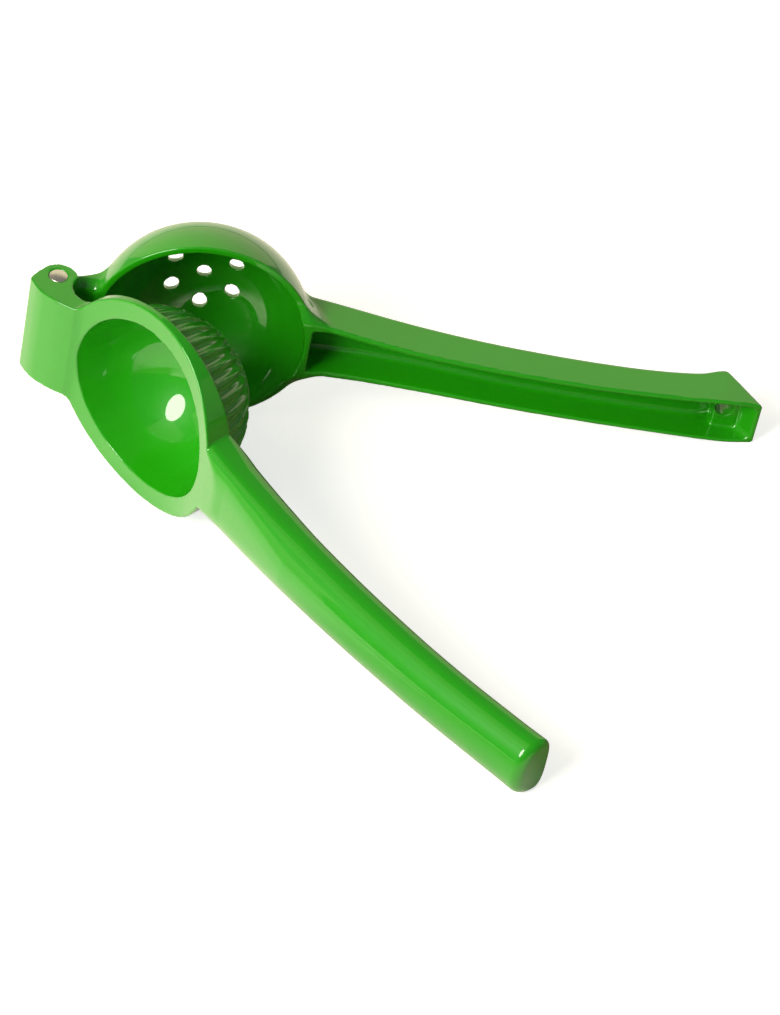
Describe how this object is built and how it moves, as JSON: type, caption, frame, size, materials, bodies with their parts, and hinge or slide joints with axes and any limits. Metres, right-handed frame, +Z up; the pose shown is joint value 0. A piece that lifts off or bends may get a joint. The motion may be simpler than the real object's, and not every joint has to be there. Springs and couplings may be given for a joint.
{
  "type": "hinged lemon squeezer",
  "caption": "Hand press for half a lemon: a fluted dome on one arm closes into a strainer bowl on the other arm about a hinge pin.",
  "frame": {"origin": "on the surface that the squeezer lies on, under the middle of its footprint", "axes": "+X runs from the hinge towards the handles' ends, +Y from the press arm to the bowl arm, +Z up"},
  "size_m": [0.2014, 0.1736, 0.066],
  "materials": {
    "enamel": "glossy green enamel baked on cast aluminium",
    "steel": "plain turned steel"
  },
  "bodies": {
    "lower_lever": {"bowl_arm": "enamel"},
    "upper_lever": {"press_arm": "enamel", "hinge_pin": "steel"}
  },
  "joints": [
    {"name": "hinge", "type": "hinge", "parent": "lower_lever", "child": "upper_lever", "pos_m": [-0.09162, 0.00681, 0.03931], "axis": [0.163, 0.0042, 0.9866], "range_deg": [-115, 43.8]}
  ]
}
